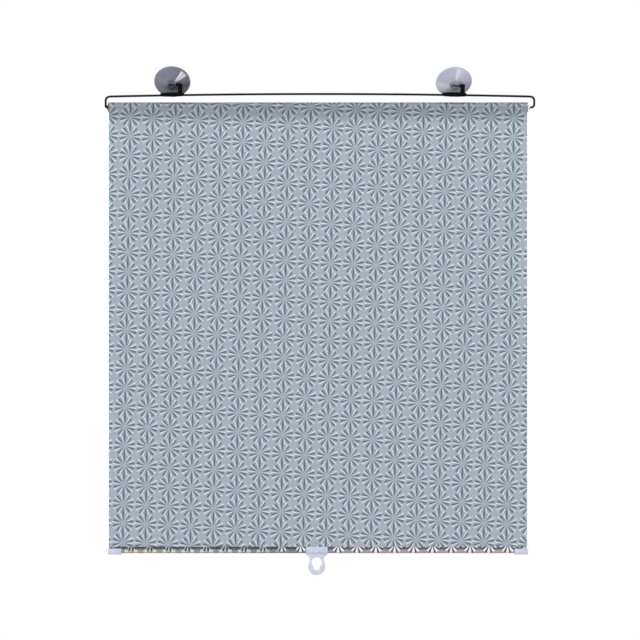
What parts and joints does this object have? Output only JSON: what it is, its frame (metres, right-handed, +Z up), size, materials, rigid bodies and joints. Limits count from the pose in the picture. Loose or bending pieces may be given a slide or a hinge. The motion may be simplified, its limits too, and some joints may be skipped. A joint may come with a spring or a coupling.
{
  "type": "car window sunshade",
  "caption": "Roll-up silver film sunshade on a wire frame: spring roller, suction cups on snap clips, weighted hem with end caps and a keyhole pull tab.",
  "frame": {"origin": "middle of the object's box, film pulled down to its full length", "axes": "+Z up, +X along the roller to the viewer's right, -Y towards the viewer, +Y towards the window glass"},
  "size_m": [0.5142, 0.0278, 0.6082],
  "materials": {
    "black_wire": "satin black coating on steel wire",
    "black_plastic": "moulded, fine satin",
    "clear_vinyl": "clear soft vinyl, glossy",
    "milky_plastic": "translucent milky plastic",
    "silver_film": "silver film embossed with ray stars",
    "tube_metal": "drawn",
    "spring_steel": "drawn wire"
  },
  "bodies": {
    "hanger": {"wire_hanger": "black_wire", "spring_spindle": "milky_plastic", "torsion_spring": "spring_steel", "film": "silver_film"},
    "roller": {"roller_tube": "tube_metal", "left_end_plug": "black_plastic", "spindle_bearing": "milky_plastic", "spring_anchor": "black_plastic"},
    "bottom_rail": {"hem_rod": "black_plastic", "rail_cap_left": "milky_plastic", "rail_cap_right": "milky_plastic", "pull_tab": "milky_plastic"},
    "clip_left": {"cup_clip_left": "black_plastic"},
    "cup_left": {"suction_cup_left": "clear_vinyl"},
    "clip_right": {"cup_clip_right": "black_plastic"},
    "cup_right": {"suction_cup_right": "clear_vinyl"}
  },
  "joints": [
    {"name": "blind_travel", "type": "slide", "parent": "hanger", "child": "bottom_rail", "axis": [0, 0, 1], "range_m": [0, 0.51], "deforming": ["film"]},
    {"name": "roller_spin", "type": "hinge", "parent": "hanger", "child": "roller", "pos_m": [-0.0027, -0.00073, 0.25537], "axis": [1, 0, 0], "range_deg": [-4600, 0]},
    {"name": "clip_left_swing", "type": "hinge", "parent": "hanger", "child": "clip_left", "pos_m": [-0.1772, -0.00073, 0.26988], "axis": [0.9999, 0, 0.0168], "range_deg": [-30, 80]},
    {"name": "cup_left_swing", "type": "hinge", "parent": "clip_left", "child": "cup_left", "pos_m": [-0.1774, -0.00456, 0.28167], "axis": [0.9999, 0, 0.0168], "range_deg": [-15, 90]},
    {"name": "clip_right_swing", "type": "hinge", "parent": "hanger", "child": "clip_right", "pos_m": [0.1606, -0.00073, 0.27015], "axis": [0.9999, 0, -0.0152], "range_deg": [-30, 80]},
    {"name": "cup_right_swing", "type": "hinge", "parent": "clip_right", "child": "cup_right", "pos_m": [0.16076, -0.00693, 0.28088], "axis": [0.9999, 0, -0.0152], "range_deg": [-5, 90]}
  ],
  "couplings": [
    {"joint": "roller_spin", "follows": "blind_travel", "rad_per_m": -156.25}
  ]
}
